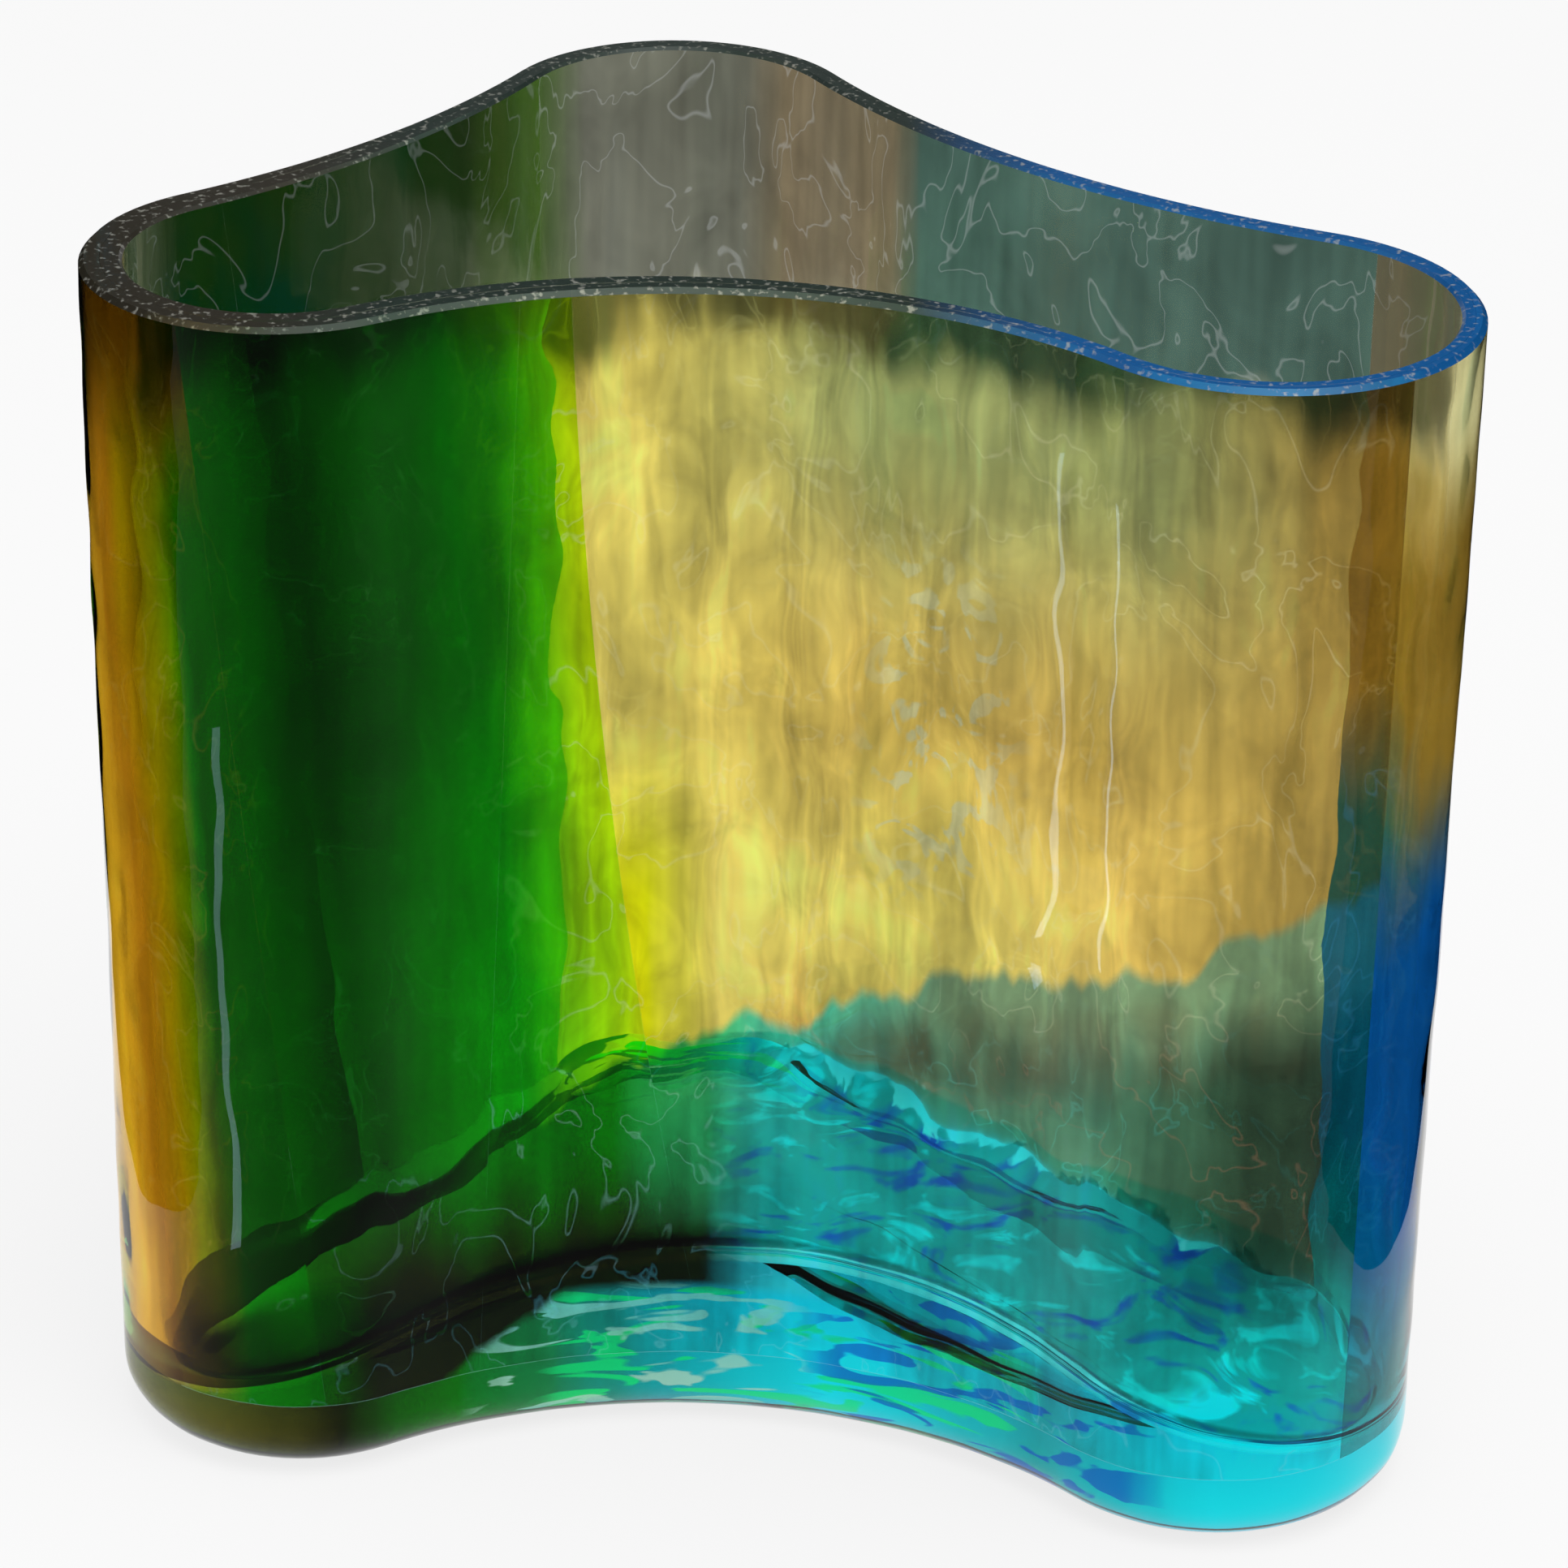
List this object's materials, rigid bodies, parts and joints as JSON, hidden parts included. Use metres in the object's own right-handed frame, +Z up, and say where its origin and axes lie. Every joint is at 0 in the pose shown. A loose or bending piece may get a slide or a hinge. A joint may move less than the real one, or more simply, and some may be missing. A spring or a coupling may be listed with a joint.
{
  "type": "hand blown art glass vase",
  "caption": "Hand blown three-lobed vase of cased glass, with coloured overlays from amber and green to gold, teal and blue on an aqua body with a thick base.",
  "frame": {"origin": "middle of the box round the underside, on the surface that the vase stands on", "axes": "+Z up to the rim, +X towards the right lobe, front (the shallow hollow between the left and right lobes) towards -Y"},
  "size_m": [0.21, 0.1452, 0.2],
  "materials": {
    "aqua_glass": "fire-polished, faintly rippled",
    "base_glass": "fire-polished sides, ground and polished underside",
    "amber_glass": "fire-polished, faintly rippled",
    "green_glass": "fire-polished, faintly rippled",
    "lime_glass": "fire-polished, faintly rippled",
    "gold_glass": "fire-polished, faintly rippled",
    "teal_glass": "fire-polished, faintly rippled",
    "blue_glass": "fire-polished, faintly rippled",
    "smoke_glass": "fire-polished, faintly rippled"
  },
  "bodies": {
    "root": {"inner_gather": "aqua_glass", "base_gather": "base_glass", "amber_overlay": "amber_glass", "green_overlay_front": "green_glass", "green_overlay_back": "green_glass", "lime_overlay": "lime_glass", "gold_overlay": "gold_glass", "teal_overlay": "teal_glass", "blue_overlay": "blue_glass", "smoke_overlay": "smoke_glass"}
  },
  "joints": []
}
